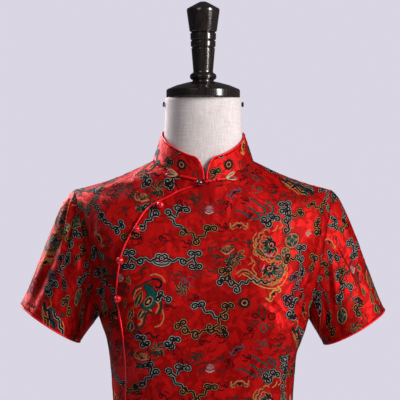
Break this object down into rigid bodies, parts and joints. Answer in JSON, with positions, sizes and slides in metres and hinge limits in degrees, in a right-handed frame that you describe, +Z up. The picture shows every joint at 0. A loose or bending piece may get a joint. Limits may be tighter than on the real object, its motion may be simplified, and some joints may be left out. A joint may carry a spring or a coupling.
{
  "type": "cheongsam dress on a dress form stand",
  "caption": "Short-sleeved cheongsam with a stand collar, side-closing front and side slits, hung on a limbless dress form with a pole and a round base.",
  "frame": {"origin": "on the floor, under the middle of the stand's base", "axes": "+Z up; -Y is the way the dress faces; +X is the wearer's left"},
  "size_m": [0.5448, 0.35, 1.6172],
  "materials": {
    "brocade": "red satin brocade with woven clouds, flowers and bats",
    "satin_piping": "bright red satin, bias-cut and corded",
    "red_bead": "polished red",
    "dark_bead": "polished dark garnet red",
    "linen": "warm white linen, stretched smooth",
    "black_lacquer": "turned wood, lacquered black",
    "black_steel": "black, satin gloss"
  },
  "bodies": {
    "root": {"front": "brocade", "right_underlap": "brocade", "back": "brocade", "sleeve_left": "brocade", "sleeve_right": "brocade", "collar": "brocade", "collar_piping": "satin_piping", "placket_piping": "satin_piping", "cuff_piping_left": "satin_piping", "cuff_piping_right": "satin_piping", "frog_right_cord": "satin_piping", "frog_right_petal_upper": "satin_piping", "frog_right_petal_lower": "satin_piping", "frog_left_cord": "satin_piping", "frog_left_petal_upper": "satin_piping", "frog_left_petal_lower": "satin_piping", "frog_knot": "dark_bead", "button_1": "red_bead", "button_2": "red_bead", "button_3": "red_bead", "button_4": "red_bead", "form_torso": "linen", "form_cap": "black_lacquer", "neck_peg_left": "black_steel", "neck_peg_right": "black_steel", "pole_socket": "black_lacquer", "pole": "black_steel", "base": "black_lacquer"}
  },
  "joints": []
}
